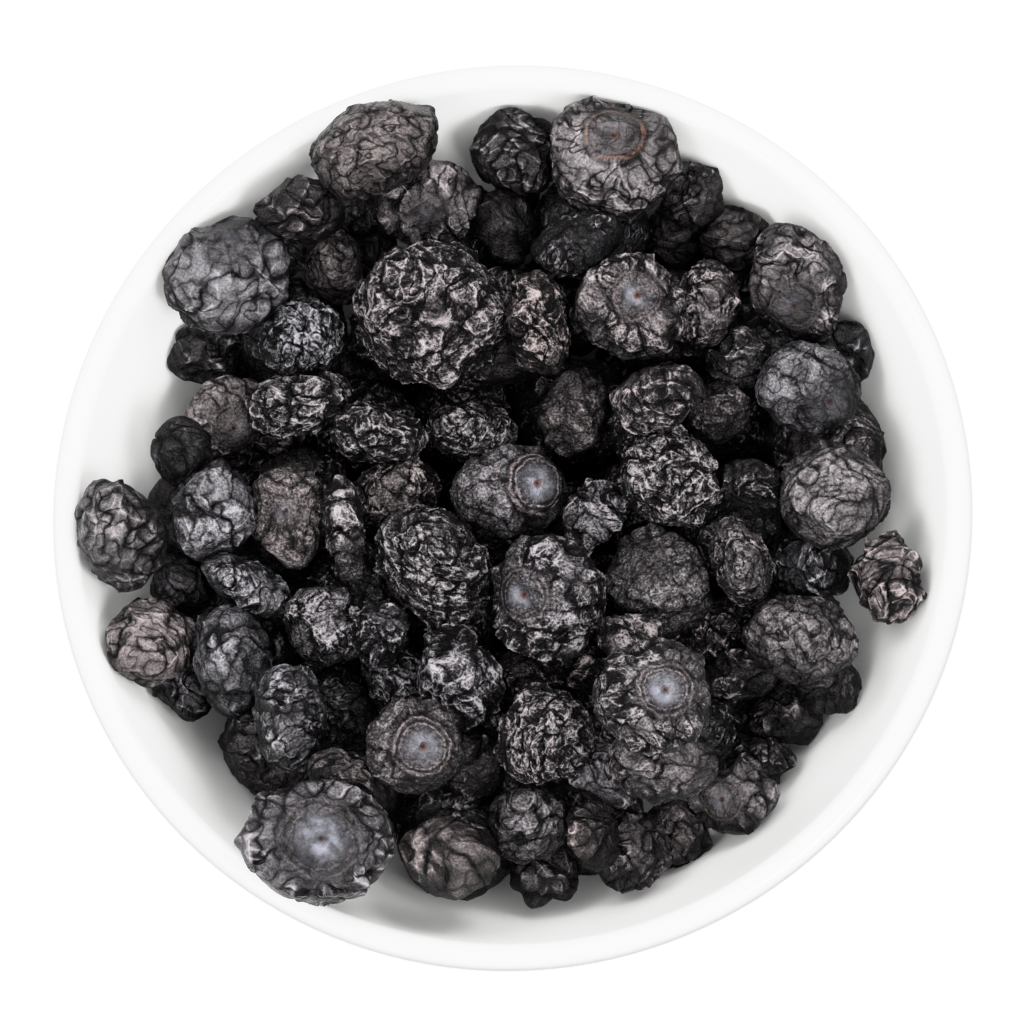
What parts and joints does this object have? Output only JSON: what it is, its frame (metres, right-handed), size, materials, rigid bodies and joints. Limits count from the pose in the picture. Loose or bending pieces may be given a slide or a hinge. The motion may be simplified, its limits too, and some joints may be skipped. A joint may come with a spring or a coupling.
{
  "type": "bowl of dried blueberries",
  "caption": "Small round white porcelain bowl on a low foot ring, heaped with loose dark wrinkled dried blueberries.",
  "frame": {"origin": "centre of the bowl's foot, on the surface it stands on", "axes": "+Z up along the bowl's turned axis; +Y is up in the picture"},
  "size_m": [0.08, 0.08, 0.0472],
  "materials": {
    "porcelain": "white, glossy, fired glaze",
    "berry_skin": "near-black dried skin, wrinkled, waxy sheen"
  },
  "bodies": {
    "root": {"bowl": "porcelain", "berry_01": "berry_skin", "berry_02": "berry_skin", "berry_03": "berry_skin", "berry_04": "berry_skin", "berry_05": "berry_skin", "berry_06": "berry_skin", "berry_07": "berry_skin", "berry_08": "berry_skin", "berry_09": "berry_skin", "berry_10": "berry_skin", "berry_11": "berry_skin", "berry_12": "berry_skin", "berry_13": "berry_skin", "berry_14": "berry_skin", "berry_15": "berry_skin", "berry_16": "berry_skin", "berry_17": "berry_skin", "berry_18": "berry_skin", "berry_19": "berry_skin", "berry_20": "berry_skin", "berry_21": "berry_skin", "berry_22": "berry_skin", "berry_23": "berry_skin", "berry_24": "berry_skin", "berry_25": "berry_skin", "berry_26": "berry_skin", "berry_27": "berry_skin", "berry_28": "berry_skin", "berry_29": "berry_skin", "berry_30": "berry_skin", "berry_31": "berry_skin", "berry_32": "berry_skin", "berry_33": "berry_skin", "berry_34": "berry_skin", "berry_35": "berry_skin", "berry_36": "berry_skin", "berry_37": "berry_skin", "berry_38": "berry_skin", "berry_39": "berry_skin", "berry_40": "berry_skin", "berry_41": "berry_skin", "berry_42": "berry_skin", "berry_43": "berry_skin", "berry_44": "berry_skin", "berry_45": "berry_skin", "berry_46": "berry_skin", "berry_47": "berry_skin", "berry_48": "berry_skin", "berry_49": "berry_skin", "berry_50": "berry_skin", "berries_beneath_1": "berry_skin", "berries_beneath_2": "berry_skin", "berries_beneath_3": "berry_skin", "berries_beneath_4": "berry_skin", "berries_beneath_5": "berry_skin", "berries_beneath_6": "berry_skin", "berries_beneath_7": "berry_skin", "berries_beneath_8": "berry_skin", "berries_beneath_9": "berry_skin"}
  },
  "joints": []
}
